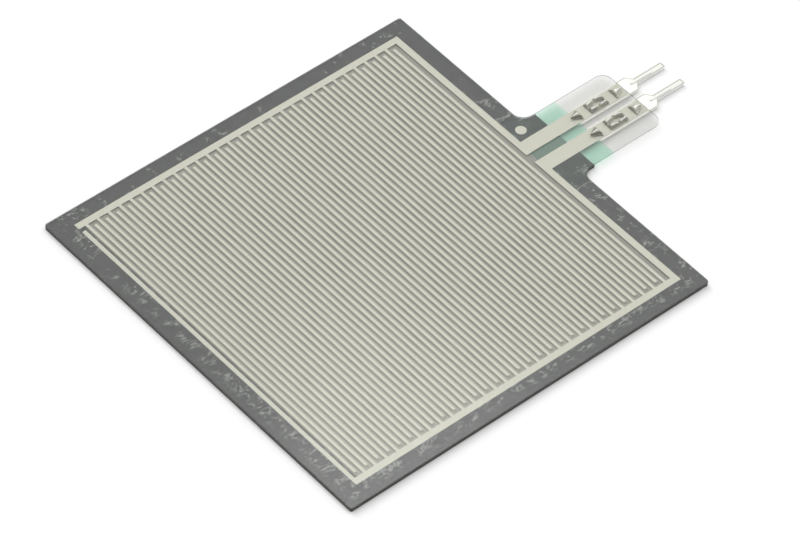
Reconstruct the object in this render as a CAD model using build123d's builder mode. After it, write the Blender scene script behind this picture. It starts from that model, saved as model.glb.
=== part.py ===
from build123d import *
import os

os.makedirs("parts", exist_ok=True)

# Square force sensor: a printed polyester film over a carbon-coated one, with a frame of
# adhesive between them and two solder contacts clinched through the tail. Millimetres.
# The origin is the centre of the square body on the underside of the liner. +Y runs along
# the tail to the solder pins and +Z up through the layers, with the silver print on top.

# Outline of the films
body_side = 40.0
body_corner_radius = 0.2
tail_width = 7.7
tail_length = 9.72
tail_corner_radius = 1.0
neck_radius = 1.2
lower_tail_length = 1.6

# Thickness of the layers, from the bottom up
liner_thickness = 0.07
mounting_adhesive_thickness = 0.05
backing_thickness = 0.10
carbon_thickness = 0.015
spacer_thickness = 0.10
film_thickness = 0.125
silver_thickness = 0.012
dielectric_thickness = 0.018

# Silver print: two combs, each with a bus at one side and every second finger
print_shift_x = -0.13
print_side_margin = 1.62
print_top_margin = 1.64
print_bottom_margin = 2.0
bus_width = 0.65
bar_width = 0.65
finger_width = 0.30
outer_finger_width = 0.39
finger_pitch = 0.60
finger_lead_gap = 0.48
finger_tip_gap = 0.42
trace_width = 1.5
contact_pitch = 2.54

# Registration dot, green dielectric patch, and the air gap and vent in the spacer
dot_diameter = 1.02
dot_from_centre = 3.06
dot_from_edge = 0.66
patch_width = 9.55
patch_shift_x = -0.11
patch_start_margin = 1.84
patch_length = 5.78
window_overlap = 0.06
window_corner_radius = 0.4
vent_overlap = 0.2

# Solder contacts, stamped and formed from tinned strip
contact_thickness = 0.20
contact_width = 1.85
contact_inner_width = 1.0
contact_inner_taper = 0.6
contact_inner_length = 6.2
shoulder_length = 1.03
shoulder_taper = 0.5
pin_width = 0.65
pin_length = 3.28
pin_tip_chamfer = 0.08
rib_width = 0.26
rib_height = 0.08
rib_start_setback = 0.13
rib_length = 2.5

# Clinched teeth: each window in the strip is cut in a W, one tooth wide and two narrow
crimp_inset = 3.17
tooth_window_width = 1.15
tooth_window_length = 1.0
tooth_thickness = 0.12
tooth_height = 0.26
tooth_reach = 0.97
tooth_tip_width = 0.16
pair_tip_width = 0.3
tooth_pair_gap = 0.04
crest_width_share = 0.1
crest_reach_share = 0.85
facing_tip_gap = 0.04
slit_clearance = 0.01

# Levels
adhesive_base = liner_thickness
backing_base = adhesive_base + mounting_adhesive_thickness
carbon_base = backing_base + backing_thickness
spacer_base = carbon_base + carbon_thickness
film_base = spacer_base + spacer_thickness
film_top = film_base + film_thickness
silver_base = film_base - silver_thickness
dielectric_base = silver_base - dielectric_thickness
contact_top = dielectric_base
contact_base = contact_top - contact_thickness

# Places in plan
body_edge = body_side / 2
film_end = body_edge + tail_length
print_width = body_side - 2 * print_side_margin
bar_top = body_edge - print_top_margin
bar_base = bar_top - bar_width
first_finger_y = bar_base - finger_lead_gap - finger_width / 2
last_finger_limit = -body_edge + print_bottom_margin + outer_finger_width - finger_width / 2
finger_count = int((first_finger_y - last_finger_limit) / finger_pitch) + 1
last_finger_y = first_finger_y - (finger_count - 1) * finger_pitch
print_base = last_finger_y + finger_width / 2 - outer_finger_width
field_width = print_width - 2 * bus_width
trace_places = {-1: print_shift_x - contact_pitch / 2, 1: print_shift_x + contact_pitch / 2}

# The two inner rows of teeth face each other, and the two outer rows curl away from them
crimp_y = film_end - crimp_inset
inner_root = tooth_reach + facing_tip_gap / 2
outer_root = inner_root + tooth_window_length
crest_reach = crest_reach_share * tooth_reach
tooth_rows = (
    (crimp_y - outer_root, -1, "single"),
    (crimp_y - inner_root, 1, "pair"),
    (crimp_y + inner_root, -1, "pair"),
    (crimp_y + outer_root, 1, "single"),
)


def film_outline(tail_reach):
    """Square body and tail of one layer, which ends tail_reach beyond the body."""
    with BuildSketch() as outline:
        Rectangle(body_side, body_side)
        with Locations((0, body_edge)):
            Rectangle(tail_width, tail_length, align=(Align.CENTER, Align.MIN))
        body_corners = outline.vertices().group_by(Axis.X)[0] + outline.vertices().group_by(Axis.X)[-1]
        fillet(body_corners, radius=body_corner_radius)
        fillet(outline.vertices().group_by(Axis.Y)[-1], radius=tail_corner_radius)
        neck_corners = outline.vertices().filter_by(lambda corner: abs(corner.Y - body_edge) < 0.001)
        fillet(neck_corners.sort_by(Axis.X)[1:3], radius=neck_radius)
        with Locations((0, -body_edge)):
            Rectangle(
                body_side,
                body_side + tail_reach,
                align=(Align.CENTER, Align.MIN),
                mode=Mode.INTERSECT,
            )
    return outline.sketch


def tooth_plans(kind, width_share, reach):
    """Outlines of the teeth of one row, seen from above, with the root on the X axis."""
    half = tooth_window_width / 2
    tip = tooth_tip_width
    near = tooth_pair_gap / 2
    spans = [((-half, half), (-tip / 2, tip / 2))]
    if kind == "pair":
        inner = half - pair_tip_width
        spans = [((side * near, side * half), (side * inner, side * half)) for side in (-1, 1)]
    plans = []
    for root_span, tip_span in spans:
        root_middle = sum(root_span) / 2
        tip_middle = sum(tip_span) / 2
        root_line = [(root_middle + width_share * (x - root_middle), 0) for x in root_span]
        tip_line = [(tip_middle + width_share * (x - tip_middle), reach) for x in reversed(tip_span)]
        plans.append(root_line + tip_line)
    return plans


def tooth_legs(trace_x, clearance):
    """Centre and size of each leg that joins a tooth to the strip, with a clearance all round."""
    legs = []
    for root_y, direction, kind in tooth_rows:
        for plan in tooth_plans(kind, 1, tooth_reach):
            root_from = min(plan[0][0], plan[1][0])
            root_to = max(plan[0][0], plan[1][0])
            centre = (trace_x + (root_from + root_to) / 2, root_y + direction * tooth_thickness / 2)
            size = (root_to - root_from + 2 * clearance, tooth_thickness + 2 * clearance)
            legs.append((centre, size))
    return legs


def cut_slits(trace_x):
    """Cut the slits of one contact in the sketch that is open."""
    for centre, size in tooth_legs(trace_x, slit_clearance):
        with Locations(centre):
            Rectangle(*size, mode=Mode.SUBTRACT)


def comb_part(side):
    """One silver electrode. side is -1 for the comb with its bus at the left and 1 for the other."""
    trace_x = trace_places[side]
    outer_x = print_shift_x + side * print_width / 2
    bus_x = outer_x - side * bus_width / 2
    bar_end_x = trace_x - side * trace_width / 2
    tip_x = print_shift_x - side * (field_width / 2 - finger_tip_gap)
    first_index = 0 if side == 1 else 1
    rows = [first_finger_y - index * finger_pitch for index in range(first_index, finger_count, 2)]
    inner_rows = [y for y in rows if y > last_finger_y + finger_pitch / 2]
    outer_rows = [y for y in rows if y not in inner_rows]
    with BuildPart() as comb:
        with BuildSketch(Plane.XY.offset(silver_base)):
            with Locations((bus_x, (bar_top + print_base) / 2)):
                Rectangle(bus_width, bar_top - print_base)
            with Locations(((outer_x + bar_end_x) / 2, bar_base)):
                Rectangle(abs(outer_x - bar_end_x), bar_width, align=(Align.CENTER, Align.MIN))
            with Locations((trace_x, bar_base)):
                Rectangle(trace_width, film_end - bar_base, align=(Align.CENTER, Align.MIN))
            with Locations([((bus_x + tip_x) / 2, y) for y in inner_rows]):
                Rectangle(abs(bus_x - tip_x), finger_width)
            with Locations([((bus_x + tip_x) / 2, y + finger_width / 2) for y in outer_rows]):
                Rectangle(abs(bus_x - tip_x), outer_finger_width, align=(Align.CENTER, Align.MAX))
            cut_slits(trace_x)
        extrude(amount=silver_thickness)
    return comb.part


def teeth_part(trace_x, root_y, direction, kind):
    """One row of teeth, clinched down on the film: hoods that slope to their edges and tips."""
    with BuildPart() as teeth:
        levels = ((film_top, 1, tooth_reach), (film_top + tooth_height, crest_width_share, crest_reach))
        outlines = [(level, tooth_plans(kind, share, reach)) for level, share, reach in levels]
        for index in range(len(outlines[0][1])):
            for level, plans in outlines:
                corners = [(trace_x + x, root_y + direction * y) for x, y in plans[index]]
                with BuildSketch(Plane.XY.offset(level)):
                    with BuildLine():
                        Polyline(corners, close=True)
                    make_face()
            loft(ruled=True)
        with BuildSketch(Plane.YZ.offset(trace_x)):
            with Locations((root_y + direction * tooth_reach / 2, film_top)):
                Ellipse(tooth_reach / 2, tooth_height)
        extrude(amount=tooth_window_width, both=True, mode=Mode.INTERSECT)
    return teeth.part


def save(part, name):
    """Label a finished piece and write it."""
    part.label = name
    export_step(part, f"parts/{name}.step")


# Release liner, mounting adhesive, backing film and its carbon print: one die cuts them all
with BuildPart() as release_liner:
    with BuildSketch():
        add(film_outline(lower_tail_length))
    extrude(amount=liner_thickness)
save(release_liner.part, "release_liner")

with BuildPart() as mounting_adhesive:
    with BuildSketch(Plane.XY.offset(adhesive_base)):
        add(film_outline(lower_tail_length))
    extrude(amount=mounting_adhesive_thickness)
save(mounting_adhesive.part, "mounting_adhesive")

with BuildPart() as backing_film:
    with BuildSketch(Plane.XY.offset(backing_base)):
        add(film_outline(lower_tail_length))
    extrude(amount=backing_thickness)
save(backing_film.part, "backing_film")

with BuildPart() as resistive_ink:
    with BuildSketch(Plane.XY.offset(carbon_base)):
        add(film_outline(lower_tail_length))
    extrude(amount=carbon_thickness)
save(resistive_ink.part, "resistive_ink")

# Silver combs and the registration dot, printed on the underside of the upper film
left_comb = comb_part(-1)
save(left_comb, "left_comb")
right_comb = comb_part(1)
save(right_comb, "right_comb")

with BuildPart() as registration_dot:
    with BuildSketch(Plane.XY.offset(silver_base)):
        with Locations((print_shift_x - dot_from_centre, body_edge - dot_from_edge)):
            Circle(dot_diameter / 2)
    extrude(amount=silver_thickness)
save(registration_dot.part, "registration_dot")

# Green dielectric patch, printed over the silver where the traces leave the body
with BuildPart() as tail_dielectric:
    with BuildSketch(Plane.XY.offset(dielectric_base)):
        add(film_outline(tail_length))
        with Locations((patch_shift_x, body_edge - patch_start_margin)):
            Rectangle(
                patch_width,
                patch_length,
                align=(Align.CENTER, Align.MIN),
                mode=Mode.INTERSECT,
            )
    extrude(amount=film_base - dielectric_base)
    add(left_comb, mode=Mode.SUBTRACT)
    add(right_comb, mode=Mode.SUBTRACT)
    add(registration_dot.part, mode=Mode.SUBTRACT)
save(tail_dielectric.part, "tail_dielectric")

# Spacer adhesive: a frame round the air gap, with a vent channel out between the traces
window_left = print_shift_x - field_width / 2 - window_overlap
window_right = print_shift_x + field_width / 2 + window_overlap
window_base = last_finger_y + finger_pitch / 2
window_top = bar_base + window_overlap
vent_width = contact_pitch - trace_width + 2 * vent_overlap

with BuildPart() as spacer_adhesive:
    with BuildSketch(Plane.XY.offset(spacer_base)):
        add(film_outline(lower_tail_length))
        with Locations(((window_left + window_right) / 2, (window_base + window_top) / 2)):
            RectangleRounded(
                window_right - window_left,
                window_top - window_base,
                window_corner_radius,
                mode=Mode.SUBTRACT,
            )
        with Locations((print_shift_x, window_top)):
            Rectangle(
                vent_width,
                2 * (body_edge + lower_tail_length - window_top),
                mode=Mode.SUBTRACT,
            )
    extrude(amount=spacer_thickness)
    add(left_comb, mode=Mode.SUBTRACT)
    add(right_comb, mode=Mode.SUBTRACT)
    add(tail_dielectric.part, mode=Mode.SUBTRACT)
    add(registration_dot.part, mode=Mode.SUBTRACT)
save(spacer_adhesive.part, "spacer_adhesive")

# Upper film, slit where the teeth of the contacts come through
with BuildPart() as electrode_film:
    with BuildSketch(Plane.XY.offset(film_base)):
        add(film_outline(tail_length))
        for trace_x in trace_places.values():
            cut_slits(trace_x)
    extrude(amount=film_thickness)
save(electrode_film.part, "electrode_film")

# Solder contacts: a flat strip under the tail, its teeth clinched on top, and a ribbed pin
shoulder_y = film_end + shoulder_length
pin_root_y = shoulder_y + shoulder_taper
pin_tip_y = pin_root_y + pin_length
inner_end_y = film_end - contact_inner_length
rib_start_y = shoulder_y - rib_start_setback
strip_half = [
    (0, inner_end_y),
    (contact_inner_width / 2, inner_end_y),
    (contact_width / 2, inner_end_y + contact_inner_taper),
    (contact_width / 2, shoulder_y),
    (pin_width / 2, pin_root_y),
    (pin_width / 2, pin_tip_y - pin_tip_chamfer),
    (pin_width / 2 - pin_tip_chamfer, pin_tip_y),
    (0, pin_tip_y),
]

for name, trace_x in (("left_contact", trace_places[-1]), ("right_contact", trace_places[1])):
    rows = [teeth_part(trace_x, *row) for row in tooth_rows]
    with BuildPart() as contact:
        with BuildSketch(Plane((trace_x, 0, contact_base))):
            with BuildLine():
                Polyline(strip_half)
                mirror(about=Plane.YZ)
            make_face()
            window_offset = inner_root + tooth_window_length / 2
            with Locations((0, crimp_y - window_offset), (0, crimp_y + window_offset)):
                Rectangle(tooth_window_width, tooth_window_length, mode=Mode.SUBTRACT)
        extrude(amount=contact_thickness)
        with BuildSketch(Plane((trace_x, rib_start_y + rib_length / 2, contact_base))):
            SlotOverall(rib_length, rib_width, rotation=90)
        extrude(amount=rib_height, mode=Mode.SUBTRACT)
        with BuildSketch(Plane((trace_x, rib_start_y + rib_length / 2, contact_top))):
            SlotOverall(rib_length, rib_width, rotation=90)
        extrude(amount=rib_height)
        fillet(contact.faces().sort_by(Axis.Z)[-1].edges(), radius=0.8 * rib_height)
        with BuildSketch(Plane.XY.offset(contact_base)):
            for centre, size in tooth_legs(trace_x, 0):
                with Locations(centre):
                    Rectangle(*size)
        extrude(amount=film_top - contact_base)
        for row in rows:
            add(row)
    save(contact.part, name)
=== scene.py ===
from math import radians

import bmesh
import bpy
from mathutils import Euler, Matrix, Vector


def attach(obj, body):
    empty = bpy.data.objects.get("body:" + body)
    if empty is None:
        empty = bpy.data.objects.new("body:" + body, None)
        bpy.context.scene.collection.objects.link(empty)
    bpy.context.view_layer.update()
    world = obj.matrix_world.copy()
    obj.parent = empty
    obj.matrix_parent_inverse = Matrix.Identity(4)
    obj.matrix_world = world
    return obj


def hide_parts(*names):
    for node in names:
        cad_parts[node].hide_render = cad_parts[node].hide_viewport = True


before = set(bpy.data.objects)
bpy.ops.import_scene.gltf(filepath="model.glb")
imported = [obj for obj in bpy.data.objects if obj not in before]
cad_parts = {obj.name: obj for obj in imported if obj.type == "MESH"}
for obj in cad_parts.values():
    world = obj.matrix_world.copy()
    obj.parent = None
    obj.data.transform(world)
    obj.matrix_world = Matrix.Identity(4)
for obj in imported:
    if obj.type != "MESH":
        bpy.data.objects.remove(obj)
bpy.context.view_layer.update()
bpy.ops.object.select_all(action="DESELECT")


# Release liner: the lowest layer, die cut with the sensor and peeled off when it is stuck down.
# It is brown glassine paper, calendered until it is almost clear and then coated with silicone,
# so it looks waxy, with long cloudy fibres in it.
def linear(hex_colour):
    """The linear RGBA colour of an sRGB hex value such as 8A7A58."""
    channels = [int(hex_colour[place : place + 2], 16) / 255 for place in (0, 2, 4)]
    return [c / 12.92 if c <= 0.04045 else ((c + 0.055) / 1.055) ** 2.4 for c in channels] + [1.0]


def add_node(tree, kind, inputs=None, tones=(), **settings):
    """Add a shader node, with its settings, and its inputs set to values or linked to sockets.

    The tones of a colour ramp are its ends, each a place from 0 to 1 and an sRGB hex value.
    """
    new = tree.nodes.new(kind)
    for setting, value in settings.items():
        setattr(new, setting, value)
    for socket, value in (inputs or {}).items():
        if isinstance(value, bpy.types.NodeSocket):
            tree.links.new(value, new.inputs[socket])
        else:
            new.inputs[socket].default_value = value
    for end, (position, colour) in enumerate(tones):
        new.color_ramp.elements[end].position = position
        new.color_ramp.elements[end].color = linear(colour)
    return new


mm_per_m = 1000


def start_material(name):
    """A new material, its empty node tree, and its surface position in millimetres."""
    made = bpy.data.materials.new(name)
    made.use_nodes = True
    tree = made.node_tree
    tree.nodes.clear()
    place = add_node(tree, "ShaderNodeTexCoord")
    in_mm = add_node(
        tree, "ShaderNodeVectorMath", {0: place.outputs["Object"], "Scale": mm_per_m}, operation="SCALE"
    )
    return made, tree, in_mm.outputs[0]


def coat_nodes(made, *node_names):
    """Give a finished material to whole layers of the sensor."""
    for node_name in node_names:
        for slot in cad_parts[node_name].material_slots:
            slot.material = made


liner_paper, tree, mm = start_material("siliconised_glassine_paper")
fibres = add_node(tree, "ShaderNodeMapping", {"Vector": mm, "Scale": (1.6, 0.35, 1.6)})
cloud = add_node(tree, "ShaderNodeTexNoise", {"Vector": fibres.outputs[0], "Scale": 1.0, "Detail": 6})
tone = add_node(
    tree, "ShaderNodeValToRGB", {"Fac": cloud.outputs["Fac"]}, tones=((0.35, "413B2F"), (0.65, "524B3B"))
)
wax = add_node(tree, "ShaderNodeMapRange", {"Value": cloud.outputs["Fac"], "To Min": 0.28, "To Max": 0.42})
paper_bump = add_node(
    tree, "ShaderNodeBump", {"Height": cloud.outputs["Fac"], "Strength": 0.15, "Distance": 0.01 / mm_per_m}
)
surface = add_node(
    tree,
    "ShaderNodeBsdfPrincipled",
    {
        "Base Color": tone.outputs[0],
        "Roughness": wax.outputs[0],
        "Specular IOR Level": 0.2,
        "Normal": paper_bump.outputs[0],
    },
)
add_node(tree, "ShaderNodeOutputMaterial", {"Surface": surface.outputs[0]})
coat_nodes(liner_paper, "release_liner")


# Mounting adhesive: a film of clear acrylic, pressed on the liner and slit with it. Only its cut
# edge shows, grey and a little cloudy where the die has dragged it.
mounting_acrylic, tree, mm = start_material("acrylic_mounting_adhesive")
drag = add_node(tree, "ShaderNodeTexNoise", {"Vector": mm, "Scale": 2.2, "Detail": 4})
tone = add_node(
    tree, "ShaderNodeValToRGB", {"Fac": drag.outputs["Fac"]}, tones=((0.3, "2C2C29"), (0.7, "393936"))
)
tacky = add_node(tree, "ShaderNodeMapRange", {"Value": drag.outputs["Fac"], "To Min": 0.2, "To Max": 0.45})
surface = add_node(
    tree,
    "ShaderNodeBsdfPrincipled",
    {"Base Color": tone.outputs[0], "Roughness": tacky.outputs[0], "Specular IOR Level": 0.2},
)
add_node(tree, "ShaderNodeOutputMaterial", {"Surface": surface.outputs[0]})
coat_nodes(mounting_acrylic, "mounting_adhesive")


# Backing film: clear polyester that carries the carbon print. With the carbon on it, it reads
# as smoky black, and its die-cut edge has fine upright tear marks.
backing_polyester, tree, mm = start_material("carbon_backed_polyester")
tear = add_node(tree, "ShaderNodeMapping", {"Vector": mm, "Scale": (9.0, 9.0, 0.8)})
marks = add_node(tree, "ShaderNodeTexNoise", {"Vector": tear.outputs[0], "Scale": 1.0, "Detail": 3})
tone = add_node(
    tree, "ShaderNodeValToRGB", {"Fac": marks.outputs["Fac"]}, tones=((0.35, "171817"), (0.7, "252625"))
)
cut_sheen = add_node(
    tree, "ShaderNodeMapRange", {"Value": marks.outputs["Fac"], "To Min": 0.18, "To Max": 0.4}
)
surface = add_node(
    tree,
    "ShaderNodeBsdfPrincipled",
    {"Base Color": tone.outputs[0], "Roughness": cut_sheen.outputs[0], "Specular IOR Level": 0.2},
)
add_node(tree, "ShaderNodeOutputMaterial", {"Surface": surface.outputs[0]})
coat_nodes(backing_polyester, "backing_film")


# Carbon ink: the resistive layer, screen printed all over the backing film and baked. Seen
# across the thin air gap it is an even warm grey, dull, with the faint grain of the mesh.
carbon_ink, tree, mm = start_material("baked_carbon_ink")
# The mesh leaves marks 0.08 mm apart. They are drawn at 0.16 mm so that they show at all.
mesh_marks = add_node(tree, "ShaderNodeTexVoronoi", {"Vector": mm, "Scale": 6.0, "Randomness": 0.6})
pools = add_node(tree, "ShaderNodeTexNoise", {"Vector": mm, "Scale": 0.35, "Detail": 3})
blend = add_node(
    tree,
    "ShaderNodeMath",
    {0: mesh_marks.outputs["Distance"], 1: 0.35, 2: pools.outputs["Fac"]},
    operation="MULTIPLY_ADD",
)
# The ink is painted paler towards the corner nearest the camera, a painted reflection of the room.
ink_place = add_node(tree, "ShaderNodeVectorMath", {0: mm, 1: (1.0, -1.0, 0.0)}, operation="DOT_PRODUCT")
painted_sheen = add_node(
    tree,
    "ShaderNodeMapRange",
    {"Value": ink_place.outputs["Value"], "From Min": 0.0, "From Max": 30.0, "To Min": 0.0, "To Max": 0.4},
)
paler = add_node(tree, "ShaderNodeMath", {0: blend.outputs[0], 1: painted_sheen.outputs[0]}, operation="ADD")
# Along the bar it is darker than between the fingers, where it is painted paler against their shade.
bar_edge = 17.2
ink_axes = add_node(tree, "ShaderNodeSeparateXYZ", {0: mm})
along_bar = add_node(
    tree,
    "ShaderNodeMapRange",
    {
        "Value": ink_axes.outputs["Y"],
        "From Min": bar_edge - 0.1,
        "From Max": bar_edge + 0.1,
        "To Min": 0.0,
        "To Max": -0.45,
    },
)
with_sheen_and_bar = add_node(tree, "ShaderNodeMath", {0: paler.outputs[0], 1: along_bar.outputs[0]}, operation="ADD")
tone = add_node(
    tree, "ShaderNodeValToRGB", {"Fac": with_sheen_and_bar.outputs[0]}, tones=((0.35, "A9A8A0"), (0.95, "BFBEB4"))
)
ink_bump = add_node(
    tree,
    "ShaderNodeBump",
    {"Height": mesh_marks.outputs["Distance"], "Strength": 0.2, "Distance": 0.005 / mm_per_m},
)
surface = add_node(
    tree,
    "ShaderNodeBsdfPrincipled",
    {"Base Color": tone.outputs[0], "Roughness": 0.55, "Normal": ink_bump.outputs[0]},
)
add_node(tree, "ShaderNodeOutputMaterial", {"Surface": surface.outputs[0]})
coat_nodes(carbon_ink, "resistive_ink")


# Spacer: a frame of acrylic transfer adhesive that bonds the two films. Where it wets the carbon
# the frame looks darker than the window, and the air that the roller leaves in it shows as pale
# flecks and short wavy creases, most of them along the two sides at the right.
half_side = 20.0
spacer_acrylic, tree, mm = start_material("acrylic_spacer_adhesive")
drawn_out = add_node(tree, "ShaderNodeMapping", {"Vector": mm, "Scale": (2.4, 1.1, 1.0)})
wander = add_node(
    tree, "ShaderNodeTexNoise", {"Vector": drawn_out.outputs[0], "Scale": 1.0, "Detail": 4, "Distortion": 0.6}
)
off_centre = add_node(tree, "ShaderNodeMath", {0: wander.outputs["Fac"], 1: 0.5}, operation="SUBTRACT")
from_line = add_node(tree, "ShaderNodeMath", {0: off_centre.outputs[0]}, operation="ABSOLUTE")
crease = add_node(
    tree,
    "ShaderNodeMapRange",
    {"Value": from_line.outputs[0], "From Min": 0.0, "From Max": 0.045, "To Min": 1.0, "To Max": 0.0},
)
patches = add_node(tree, "ShaderNodeTexNoise", {"Vector": mm, "Scale": 1.1, "Detail": 2})
side_place = add_node(tree, "ShaderNodeSeparateXYZ", {0: mm})
more_right = add_node(
    tree,
    "ShaderNodeMapRange",
    {
        "Value": side_place.outputs["X"],
        "From Min": -half_side,
        "From Max": half_side,
        "To Min": -0.05,
        "To Max": 0.075,
    },
)
more_low = add_node(
    tree,
    "ShaderNodeMapRange",
    {
        "Value": side_place.outputs["Y"],
        "From Min": -half_side,
        "From Max": half_side,
        "To Min": 0.03,
        "To Max": -0.045,
    },
)
chance = add_node(
    tree, "ShaderNodeMath", {0: patches.outputs["Fac"], 1: more_right.outputs[0]}, operation="ADD"
)
chances = add_node(tree, "ShaderNodeMath", {0: chance.outputs[0], 1: more_low.outputs[0]}, operation="ADD")
here = add_node(
    tree,
    "ShaderNodeMapRange",
    {"Value": chances.outputs[0], "From Min": 0.52, "From Max": 0.6, "To Min": 0.0, "To Max": 1.0},
)
fleck = add_node(tree, "ShaderNodeMath", {0: crease.outputs[0], 1: here.outputs[0]}, operation="MULTIPLY")
# Between the creases there are single bubbles, 0.2 mm across.
cells = add_node(tree, "ShaderNodeTexVoronoi", {"Vector": mm, "Scale": 1.5})
bubble = add_node(
    tree,
    "ShaderNodeMapRange",
    {"Value": cells.outputs["Distance"], "From Min": 0.09, "From Max": 0.18, "To Min": 0.9, "To Max": 0.0},
)
near_crease = add_node(
    tree,
    "ShaderNodeMapRange",
    {"Value": chances.outputs[0], "From Min": 0.49, "From Max": 0.53, "To Min": 0.0, "To Max": 1.0},
)
bubbles = add_node(
    tree, "ShaderNodeMath", {0: bubble.outputs[0], 1: near_crease.outputs[0]}, operation="MULTIPLY"
)
fleck_or_bubble = add_node(
    tree, "ShaderNodeMath", {0: fleck.outputs[0], 1: bubbles.outputs[0]}, operation="MAXIMUM"
)
# The roller has pressed the air away from the outer edges at the right.
near_side = add_node(tree, "ShaderNodeMath", {0: side_place.outputs["Y"], 1: -1.0}, operation="MULTIPLY")
outermost = add_node(
    tree, "ShaderNodeMath", {0: side_place.outputs["X"], 1: near_side.outputs[0]}, operation="MAXIMUM"
)
inward = add_node(
    tree,
    "ShaderNodeMapRange",
    {
        "Value": outermost.outputs[0],
        "From Min": half_side - 1.1,
        "From Max": half_side - 0.5,
        "To Min": 1.0,
        "To Max": 0.1,
    },
)
fleck_inward = add_node(
    tree, "ShaderNodeMath", {0: fleck_or_bubble.outputs[0], 1: inward.outputs[0]}, operation="MULTIPLY"
)
# It has left some in a wavy crease on each side of the patch, where the tail begins.
patch_axis = -0.11
crease_reach = 5.95
tail_root = 18.4
from_patch_axis = add_node(
    tree, "ShaderNodeMath", {0: side_place.outputs["X"], 1: patch_axis}, operation="SUBTRACT"
)
off_patch_axis = add_node(tree, "ShaderNodeMath", {0: from_patch_axis.outputs[0]}, operation="ABSOLUTE")
wavy = add_node(
    tree,
    "ShaderNodeMath",
    {0: wander.outputs["Fac"], 1: 1.6, 2: off_patch_axis.outputs[0]},
    operation="MULTIPLY_ADD",
)
from_crease = add_node(tree, "ShaderNodeMath", {0: wavy.outputs[0], 1: crease_reach}, operation="SUBTRACT")
crease_distance = add_node(tree, "ShaderNodeMath", {0: from_crease.outputs[0]}, operation="ABSOLUTE")
patch_crease = add_node(
    tree,
    "ShaderNodeMapRange",
    {"Value": crease_distance.outputs[0], "From Min": 0.03, "From Max": 0.16, "To Min": 0.8, "To Max": 0.0},
)
at_tail = add_node(
    tree,
    "ShaderNodeMapRange",
    {
        "Value": side_place.outputs["Y"],
        "From Min": tail_root - 0.1,
        "From Max": tail_root + 0.1,
        "To Min": 0.0,
        "To Max": 1.0,
    },
)
tail_crease = add_node(
    tree, "ShaderNodeMath", {0: patch_crease.outputs[0], 1: at_tail.outputs[0]}, operation="MULTIPLY"
)
air = add_node(
    tree, "ShaderNodeMath", {0: fleck_inward.outputs[0], 1: tail_crease.outputs[0]}, operation="MAXIMUM"
)
cloudy = add_node(tree, "ShaderNodeTexNoise", {"Vector": mm, "Scale": 0.8, "Detail": 4})
tone = add_node(
    tree, "ShaderNodeValToRGB", {"Fac": cloudy.outputs["Fac"]}, tones=((0.3, "4F5252"), (0.7, "585B5B"))
)
with_air = add_node(
    tree,
    "ShaderNodeMix",
    {"Factor": air.outputs[0], "A": tone.outputs[0], "B": linear("B0B4AE")},
    data_type="RGBA",
)
# The cut side stays tacky, and it is painted almost black: painted shade on the sides.
turned = add_node(tree, "ShaderNodeNewGeometry")
slope = add_node(tree, "ShaderNodeSeparateXYZ", {0: turned.outputs["Normal"]})
level = add_node(tree, "ShaderNodeMath", {0: slope.outputs["Z"]}, operation="ABSOLUTE")
shaded_cut_side = add_node(
    tree,
    "ShaderNodeMapRange",
    {"Value": level.outputs[0], "From Min": 0.3, "From Max": 0.8, "To Min": 1.0, "To Max": 0.0},
)
with_painted_side_shade = add_node(
    tree,
    "ShaderNodeMix",
    {"Factor": shaded_cut_side.outputs[0], "A": with_air.outputs["Result"], "B": linear("242625")},
    data_type="RGBA",
)
surface = add_node(
    tree,
    "ShaderNodeBsdfPrincipled",
    {"Base Color": with_painted_side_shade.outputs["Result"], "Roughness": 0.35, "IOR": 1.47},
)
add_node(tree, "ShaderNodeOutputMaterial", {"Surface": surface.outputs[0]})
coat_nodes(spacer_acrylic, "spacer_adhesive")


# Silver combs and registration dot: silver-filled polymer ink, screen printed on the underside
# of the upper film. Through the film it is a warm pale grey, almost dull, with a fine flake grain.
silver_ink, tree, mm = start_material("silver_polymer_ink")
# Flakes are 0.01 mm. They are drawn as 0.12 mm grains so that the grain shows.
flakes = add_node(tree, "ShaderNodeTexNoise", {"Vector": mm, "Scale": 8.0, "Detail": 3})
tone = add_node(
    tree, "ShaderNodeValToRGB", {"Fac": flakes.outputs["Fac"]}, tones=((0.3, "E5E5D7"), (0.7, "EBEBDE"))
)
flake_bump = add_node(
    tree, "ShaderNodeBump", {"Height": flakes.outputs["Fac"], "Strength": 0.15, "Distance": 0.005 / mm_per_m}
)
surface = add_node(
    tree,
    "ShaderNodeBsdfPrincipled",
    {"Base Color": tone.outputs[0], "Metallic": 0.2, "Roughness": 0.5, "Normal": flake_bump.outputs[0]},
)
add_node(tree, "ShaderNodeOutputMaterial", {"Surface": surface.outputs[0]})
coat_nodes(silver_ink, "left_comb", "right_comb", "registration_dot")


# Dielectric patch: green UV-cured ink that insulates the traces where they leave the body. It
# is a thin filter, mint over a pale ground and hardly to be seen over the dark frame.
def lift_out(node_name, piece_name):
    """Copy a CAD layer as a piece of its own, with its loose triangles merged, open in edit mode."""
    bpy.ops.object.select_all(action="DESELECT")
    piece = bpy.data.objects.new(piece_name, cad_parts[node_name].data.copy())
    bpy.context.scene.collection.objects.link(piece)
    bpy.context.view_layer.objects.active = piece
    piece.select_set(True)
    bpy.ops.object.mode_set(mode="EDIT")
    bpy.ops.mesh.select_all(action="SELECT")
    bpy.ops.mesh.remove_doubles(threshold=0.0001 / mm_per_m)
    bpy.ops.mesh.customdata_custom_splitnormals_clear()
    bpy.ops.mesh.faces_shade_flat()
    bpy.ops.mesh.select_all(action="DESELECT")
    return piece


def shift_level(piece, level, rise, tolerance=0.002):
    """Move those points of an open piece that lie at one level up by rise, all in mm."""
    mesh = bmesh.from_edit_mesh(piece.data)
    for point in mesh.verts:
        point.select_set(abs(point.co.z * mm_per_m - level) < tolerance)
    mesh.select_flush_mode()
    bpy.ops.transform.translate(value=(0, 0, rise / mm_per_m))
    bpy.ops.mesh.select_all(action="DESELECT")


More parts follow.
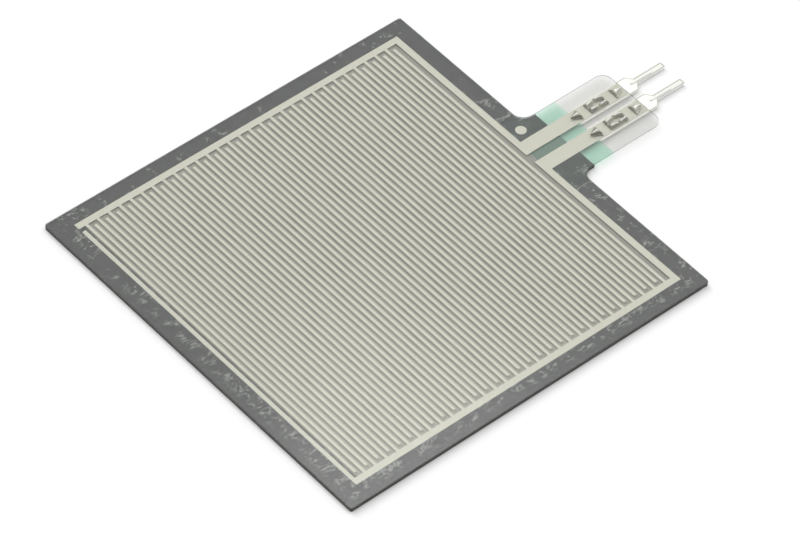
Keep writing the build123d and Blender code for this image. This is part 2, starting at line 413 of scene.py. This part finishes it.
# A few microns of air are left above and below the patch, so that its faces don't coincide
# with those of the silver, the spacer and the film.
film_underside = 0.335
silver_underside = 0.323
patch_underside = 0.305
air_gap = 0.004
patch = lift_out("tail_dielectric", "green_patch")
shift_level(patch, film_underside, -air_gap)
shift_level(patch, silver_underside, -air_gap)
shift_level(patch, patch_underside, air_gap)
bpy.ops.object.mode_set(mode="OBJECT")

green_ink, tree, mm = start_material("translucent_green_dielectric")
streaks = add_node(tree, "ShaderNodeTexNoise", {"Vector": mm, "Scale": 0.9, "Detail": 4})
thin = add_node(
    tree, "ShaderNodeValToRGB", {"Fac": streaks.outputs["Fac"]}, tones=((0.3, "F0FEF8"), (0.7, "F2FFFA"))
)
# Over the frame the ink is wetted out on the dark adhesive, and little of its colour is left. Over
# the vent, whose floor is the carbon, it is a dull grey green.
lower_layers_end = 21.6
tail_axis = -0.13
patch_place = add_node(tree, "ShaderNodeSeparateXYZ", {0: mm})
past_body = add_node(
    tree,
    "ShaderNodeMapRange",
    {
        "Value": patch_place.outputs["Y"],
        "From Min": lower_layers_end - 0.01,
        "From Max": lower_layers_end + 0.01,
        "To Min": 0.0,
        "To Max": 1.0,
    },
)
from_vent = add_node(
    tree, "ShaderNodeMath", {0: patch_place.outputs["X"], 1: tail_axis}, operation="SUBTRACT"
)
vent_reach = add_node(tree, "ShaderNodeMath", {0: from_vent.outputs[0]}, operation="ABSOLUTE")
in_vent = add_node(
    tree,
    "ShaderNodeMapRange",
    {"Value": vent_reach.outputs[0], "From Min": 0.6, "From Max": 0.8, "To Min": 1.0, "To Max": 0.0},
)
over_body = add_node(
    tree,
    "ShaderNodeMix",
    {"Factor": in_vent.outputs[0], "A": linear("FEFFFF"), "B": linear("F3FCFB")},
    data_type="RGBA",
)
seen_tint = add_node(
    tree,
    "ShaderNodeMix",
    {"Factor": past_body.outputs[0], "A": over_body.outputs["Result"], "B": thin.outputs[0]},
    data_type="RGBA",
)
filtered = add_node(tree, "ShaderNodeBsdfTransparent", {"Color": seen_tint.outputs["Result"]})
body_colour = add_node(tree, "ShaderNodeBsdfPrincipled", {"Base Color": linear("9FC9B4"), "Roughness": 0.4})
hiding = add_node(
    tree, "ShaderNodeMapRange", {"Value": past_body.outputs[0], "To Min": 0.03, "To Max": 0.012}
)
surface = add_node(
    tree, "ShaderNodeMixShader", {0: hiding.outputs[0], 1: filtered.outputs[0], 2: body_colour.outputs[0]}
)
add_node(tree, "ShaderNodeOutputMaterial", {"Surface": surface.outputs[0]})
patch.data.materials.clear()
patch.data.materials.append(green_ink)
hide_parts("tail_dielectric")
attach(patch, "root")


# Upper film: clear heat-stabilised polyester, printed on its underside and slit for the teeth.
# It is faintly grey, reflects the room softly, and its cut edge catches a thin dark line.
film = lift_out("electrode_film", "upper_film")
shift_level(film, film_underside, air_gap)
bpy.ops.object.mode_set(mode="OBJECT")

clear_film, tree, mm = start_material("clear_polyester_film")
facing = add_node(tree, "ShaderNodeNewGeometry")
parts = add_node(tree, "ShaderNodeSeparateXYZ", {0: facing.outputs["Normal"]})
flatness = add_node(tree, "ShaderNodeMath", {0: parts.outputs["Z"]}, operation="ABSOLUTE")
edge = add_node(
    tree,
    "ShaderNodeMapRange",
    {"Value": flatness.outputs[0], "From Min": 0.3, "From Max": 0.8, "To Min": 1.0, "To Max": 0.0},
)
scuffs = add_node(tree, "ShaderNodeTexNoise", {"Vector": mm, "Scale": 0.5, "Detail": 5})
polish = add_node(tree, "ShaderNodeMapRange", {"Value": scuffs.outputs["Fac"], "To Min": 0.08, "To Max": 0.2})
clear = add_node(tree, "ShaderNodeBsdfTransparent", {"Color": linear("F4F4F3")})
mirror_skin = add_node(tree, "ShaderNodeBsdfGlossy", {"Color": (1, 1, 1, 1), "Roughness": polish.outputs[0]})
glance = add_node(tree, "ShaderNodeFresnel", {"IOR": 1.57})
outside = add_node(tree, "ShaderNodeMath", {0: 1.0, 1: facing.outputs["Backfacing"]}, operation="SUBTRACT")
gloss_share = add_node(
    tree, "ShaderNodeMath", {0: glance.outputs[0], 1: outside.outputs[0]}, operation="MULTIPLY"
)
skin = add_node(
    tree, "ShaderNodeMixShader", {0: gloss_share.outputs[0], 1: clear.outputs[0], 2: mirror_skin.outputs[0]}
)
cut_edge = add_node(
    tree,
    "ShaderNodeBsdfPrincipled",
    {"Base Color": linear("3C3E3C"), "Roughness": 0.25, "Specular IOR Level": 0.2},
)
# Round the body the dark frame shows through the cut edge, and at the tail it is paler.
film_place = add_node(tree, "ShaderNodeSeparateXYZ", {0: mm})
edge_depth = add_node(
    tree,
    "ShaderNodeMapRange",
    {
        "Value": film_place.outputs["Y"],
        "From Min": lower_layers_end - 0.3,
        "From Max": lower_layers_end + 0.3,
        "To Min": 0.75,
        "To Max": 0.4,
    },
)
edge_share = add_node(
    tree, "ShaderNodeMath", {0: edge.outputs[0], 1: edge_depth.outputs[0]}, operation="MULTIPLY"
)
surface = add_node(
    tree, "ShaderNodeMixShader", {0: edge_share.outputs[0], 1: skin.outputs[0], 2: cut_edge.outputs[0]}
)
add_node(tree, "ShaderNodeOutputMaterial", {"Surface": surface.outputs[0]})
film.data.materials.clear()
film.data.materials.append(clear_film)
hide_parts("electrode_film")
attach(film, "root")


# Solder contacts: phosphor bronze strip, tinned, stamped and clinched through the tail. The flat
# strip and the pins are bright dull tin. The bent teeth are painted darker bronze, partly bare
# bronze and partly painted shade, with a painted highlight on their ridges.
film_end = 29.75
half_pitch = 1.27
half_shoulder = 0.925
half_pin = 0.31
tinned_bronze, tree, mm = start_material("tinned_phosphor_bronze")
place = add_node(tree, "ShaderNodeSeparateXYZ", {0: mm})
raised = add_node(
    tree,
    "ShaderNodeMapRange",
    {"Value": place.outputs["Z"], "From Min": 0.44, "From Max": 0.5, "To Min": 0.0, "To Max": 1.0},
)
rolled = add_node(tree, "ShaderNodeMapping", {"Vector": mm, "Scale": (6.0, 0.5, 6.0)})
grain = add_node(tree, "ShaderNodeTexNoise", {"Vector": rolled.outputs[0], "Scale": 1.5, "Detail": 4})
tin = add_node(
    tree, "ShaderNodeValToRGB", {"Fac": grain.outputs["Fac"]}, tones=((0.3, "F0F0EA"), (0.7, "F6F6F1"))
)
worn = add_node(tree, "ShaderNodeTexNoise", {"Vector": mm, "Scale": 5.0, "Detail": 3})
bronze = add_node(
    tree, "ShaderNodeValToRGB", {"Fac": worn.outputs["Fac"]}, tones=((0.35, "716E5A"), (0.65, "939078"))
)
# Rims of the teeth: dark bronze, partly painted shade. Ridges: bright tin, a painted highlight.
painted_ridge_highlight = add_node(
    tree,
    "ShaderNodeMapRange",
    {"Value": place.outputs["Z"], "From Min": 0.58, "From Max": 0.7, "To Min": 0.0, "To Max": 0.75},
)
# The rows of teeth beyond the one nearest the body are paler, with more tin in their colour.
paler_rows = add_node(
    tree,
    "ShaderNodeMapRange",
    {"Value": place.outputs["Y"], "From Min": 24.8, "From Max": 25.2, "To Min": 0.06, "To Max": 0.28},
)
tin_and_highlight_share = add_node(
    tree, "ShaderNodeMath", {0: painted_ridge_highlight.outputs[0], 1: paler_rows.outputs[0]}, operation="ADD", use_clamp=True
)
tooth_colour = add_node(
    tree,
    "ShaderNodeMix",
    {"Factor": tin_and_highlight_share.outputs[0], "A": bronze.outputs[0], "B": tin.outputs[0]},
    data_type="RGBA",
)
# Under the film the strip is painted white: painted light, which makes up for the light the film takes.
past_film = add_node(
    tree,
    "ShaderNodeMapRange",
    {
        "Value": place.outputs["Y"],
        "From Min": film_end - 0.05,
        "From Max": film_end + 0.05,
        "To Min": 0.0,
        "To Max": 1.0,
    },
)
strip_colour = add_node(
    tree,
    "ShaderNodeMix",
    {"Factor": past_film.outputs[0], "A": linear("FFFFFA"), "B": tin.outputs[0]},
    data_type="RGBA",
)
metal_colour = add_node(
    tree,
    "ShaderNodeMix",
    {"Factor": raised.outputs[0], "A": strip_colour.outputs["Result"], "B": tooth_colour.outputs["Result"]},
    data_type="RGBA",
)
turned = add_node(tree, "ShaderNodeNewGeometry")
slope = add_node(tree, "ShaderNodeSeparateXYZ", {0: turned.outputs["Normal"]})
# Stamping rounds the top edges beyond the film. A thin grey outline is painted along them, a
# painted reflection of the rounding, first along the wide shoulder and then along the pin.
from_middle = add_node(tree, "ShaderNodeMath", {0: place.outputs["X"], 1: tail_axis}, operation="SUBTRACT")
spread = add_node(tree, "ShaderNodeMath", {0: from_middle.outputs[0]}, operation="ABSOLUTE")
from_axis = add_node(tree, "ShaderNodeMath", {0: spread.outputs[0], 1: half_pitch}, operation="SUBTRACT")
off_axis = add_node(tree, "ShaderNodeMath", {0: from_axis.outputs[0]}, operation="ABSOLUTE")
half_width = add_node(
    tree,
    "ShaderNodeMapRange",
    {
        "Value": place.outputs["Y"],
        "From Min": 30.75,
        "From Max": 31.25,
        "To Min": half_shoulder,
        "To Max": half_pin,
    },
)
past_edge = add_node(
    tree, "ShaderNodeMath", {0: off_axis.outputs[0], 1: half_width.outputs[0]}, operation="SUBTRACT"
)
painted_edge_band = add_node(
    tree,
    "ShaderNodeMapRange",
    {"Value": past_edge.outputs[0], "From Min": -0.13, "From Max": -0.07, "To Min": 0.0, "To Max": 1.0},
)
upward = add_node(
    tree,
    "ShaderNodeMapRange",
    {"Value": slope.outputs["Z"], "From Min": 0.2, "From Max": 0.6, "To Min": 0.0, "To Max": 1.0},
)
tip = add_node(
    tree,
    "ShaderNodeMapRange",
    {"Value": place.outputs["Y"], "From Min": 34.38, "From Max": 34.45, "To Min": 0.0, "To Max": 1.0},
)
rim = add_node(tree, "ShaderNodeMath", {0: painted_edge_band.outputs[0], 1: tip.outputs[0]}, operation="MAXIMUM")
open_edge = add_node(
    tree, "ShaderNodeMath", {0: rim.outputs[0], 1: past_film.outputs[0]}, operation="MULTIPLY"
)
painted_outline_share = add_node(
    tree, "ShaderNodeMath", {0: open_edge.outputs[0], 1: upward.outputs[0]}, operation="MULTIPLY"
)
# Towards their tips the pins are duller and greyer than the strip. Their right sides, turned away
# from the key light, are painted white: painted light.
on_pin = add_node(
    tree,
    "ShaderNodeMapRange",
    {"Value": place.outputs["Y"], "From Min": 29.9, "From Max": 31.4, "To Min": 0.0, "To Max": 1.0},
)
right_side = add_node(
    tree,
    "ShaderNodeMapRange",
    {"Value": slope.outputs["X"], "From Min": 0.05, "From Max": 0.25, "To Min": 0.0, "To Max": 1.0},
)
painted_light_on_right = add_node(
    tree, "ShaderNodeMath", {0: on_pin.outputs[0], 1: right_side.outputs[0]}, operation="MULTIPLY"
)
grey_pin = add_node(
    tree,
    "ShaderNodeMix",
    {"Factor": on_pin.outputs[0], "A": metal_colour.outputs["Result"], "B": linear("E6E7E0")},
    data_type="RGBA",
)
with_painted_right_light = add_node(
    tree,
    "ShaderNodeMix",
    {"Factor": painted_light_on_right.outputs[0], "A": grey_pin.outputs["Result"], "B": linear("FFFFFF")},
    data_type="RGBA",
)
with_painted_outline = add_node(
    tree,
    "ShaderNodeMix",
    {"Factor": painted_outline_share.outputs[0], "A": with_painted_right_light.outputs["Result"], "B": linear("B4B4AA")},
    data_type="RGBA",
)
metallic = add_node(tree, "ShaderNodeMapRange", {"Value": raised.outputs[0], "To Min": 0.75, "To Max": 0.85})
dullness = add_node(
    tree, "ShaderNodeMapRange", {"Value": grain.outputs["Fac"], "To Min": 0.22, "To Max": 0.36}
)
matt_pin = add_node(
    tree, "ShaderNodeMath", {0: on_pin.outputs[0], 1: 0.2, 2: dullness.outputs[0]}, operation="MULTIPLY_ADD"
)
grain_bump = add_node(
    tree, "ShaderNodeBump", {"Height": grain.outputs["Fac"], "Strength": 0.2, "Distance": 0.01 / mm_per_m}
)
surface = add_node(
    tree,
    "ShaderNodeBsdfPrincipled",
    {
        "Base Color": with_painted_outline.outputs["Result"],
        "Metallic": metallic.outputs[0],
        "Roughness": matt_pin.outputs[0],
        "Normal": grain_bump.outputs[0],
    },
)
add_node(tree, "ShaderNodeOutputMaterial", {"Surface": surface.outputs[0]})
coat_nodes(tinned_bronze, "left_contact", "right_contact")


# Studio: a white table that the camera sees at full white, and that keeps the sensor's shadow. Its
# glow is for the camera, gloss and clear film only, and puts no light on the sensor.
bpy.ops.mesh.primitive_plane_add(size=4.0, location=(0, 0, -0.01 / mm_per_m))
table = bpy.context.object
table.name = "table"
table_white, tree = start_material("white_table")[:2]
seen = add_node(tree, "ShaderNodeLightPath")
mirrored = add_node(
    tree,
    "ShaderNodeMath",
    {0: seen.outputs["Is Camera Ray"], 1: seen.outputs["Is Glossy Ray"]},
    operation="MAXIMUM",
)
shown = add_node(
    tree,
    "ShaderNodeMath",
    {0: mirrored.outputs[0], 1: seen.outputs["Is Transmission Ray"]},
    operation="MAXIMUM",
)
lift = add_node(tree, "ShaderNodeMath", {0: shown.outputs[0], 1: 0.09}, operation="MULTIPLY")
matt = add_node(tree, "ShaderNodeBsdfDiffuse", {"Color": (0.86, 0.86, 0.86, 1)})
glow = add_node(tree, "ShaderNodeEmission", {"Strength": lift.outputs[0]})
both = add_node(tree, "ShaderNodeAddShader", {0: matt.outputs[0], 1: glow.outputs[0]})
add_node(tree, "ShaderNodeOutputMaterial", {"Surface": both.outputs[0]})
table.data.materials.append(table_white)


# The room: an even white, stronger in gloss than it is as light, and dimmer behind the camera. The
# camera itself, and the clear film, see it at a strength of 1, which is white.
room = bpy.data.worlds.new("room")
room.use_nodes = True
toward_camera = (0.72, -0.69, 0.0)
tree = room.node_tree
tree.nodes.clear()
heading = add_node(tree, "ShaderNodeTexCoord")
to_camera = add_node(
    tree, "ShaderNodeVectorMath", {0: heading.outputs["Generated"], 1: toward_camera}, operation="DOT_PRODUCT"
)
lighting = add_node(
    tree,
    "ShaderNodeMapRange",
    {"Value": to_camera.outputs["Value"], "From Min": 0.1, "From Max": 0.7, "To Min": 0.98, "To Max": 0.38},
)
seen = add_node(tree, "ShaderNodeLightPath")
reflected = add_node(
    tree,
    "ShaderNodeMapRange",
    {"Value": to_camera.outputs["Value"], "From Min": -0.35, "From Max": 0.15, "To Min": 1.1, "To Max": 0.45},
)
behind = add_node(
    tree,
    "ShaderNodeMix",
    {"Factor": seen.outputs["Is Glossy Ray"], "A": lighting.outputs[0], "B": reflected.outputs[0]},
)
plain = add_node(
    tree,
    "ShaderNodeMath",
    {0: seen.outputs["Is Camera Ray"], 1: seen.outputs["Is Transmission Ray"]},
    operation="MAXIMUM",
)
strength = add_node(
    tree, "ShaderNodeMix", {"Factor": plain.outputs[0], "A": behind.outputs["Result"], "B": 1.0}
)
air = add_node(tree, "ShaderNodeBackground", {"Color": (1, 1, 1, 1), "Strength": strength.outputs["Result"]})
add_node(tree, "ShaderNodeOutputWorld", {"Surface": air.outputs[0]})
bpy.context.scene.world = room


# Key light: soft, from the left of the picture, so that shadows fall to the right. It has no
# mirror image, which would glare in the film from the sides.
key_tilt, key_heading = radians(59), radians(-98)
bpy.ops.object.light_add(type="SUN", rotation=(key_tilt, 0, key_heading))
key = bpy.context.object
key.name = "key_light"
key.data.energy = 1.3
key.data.angle = radians(36)
key.visible_glossy = False


# Card: a white board above and behind the sensor, 0.1 m square. Its soft image brightens the film
# at its near corner.
card_place = Vector((-0.059, 0.0955, 0.22))
bpy.ops.object.light_add(type="AREA", location=card_place)
card = bpy.context.object
card.name = "white_card"
card.data.shape = "RECTANGLE"
card.data.size = 0.1
card.data.size_y = 0.1
card.data.energy = 0.05
card.rotation_euler = card_place.to_track_quat("Z", "Y").to_euler()


# Camera: a long lens that looks along the sensor's diagonal from above, rolled a little. Its place
# and its lens are fitted to the sensor's edges in the photo.
aim = Vector((0.0024537, 0.0005035, 0.00046))
elevation, azimuth, roll = 47.719, 45.896, 4.186
distance = 0.452035
level_turn = Euler((radians(90 - elevation), 0, radians(azimuth))).to_matrix()
turn = level_turn @ Matrix.Rotation(radians(roll), 3, "Z")
camera = bpy.data.objects.new("camera", bpy.data.cameras.new("camera"))
bpy.context.scene.collection.objects.link(camera)
camera.rotation_euler = turn.to_euler()
camera.location = aim + turn @ Vector((0, 0, distance))
camera.data.lens = 240.448
camera.data.sensor_width = 36.0
bpy.context.scene.camera = camera
bpy.context.scene.view_settings.view_transform = "Standard"
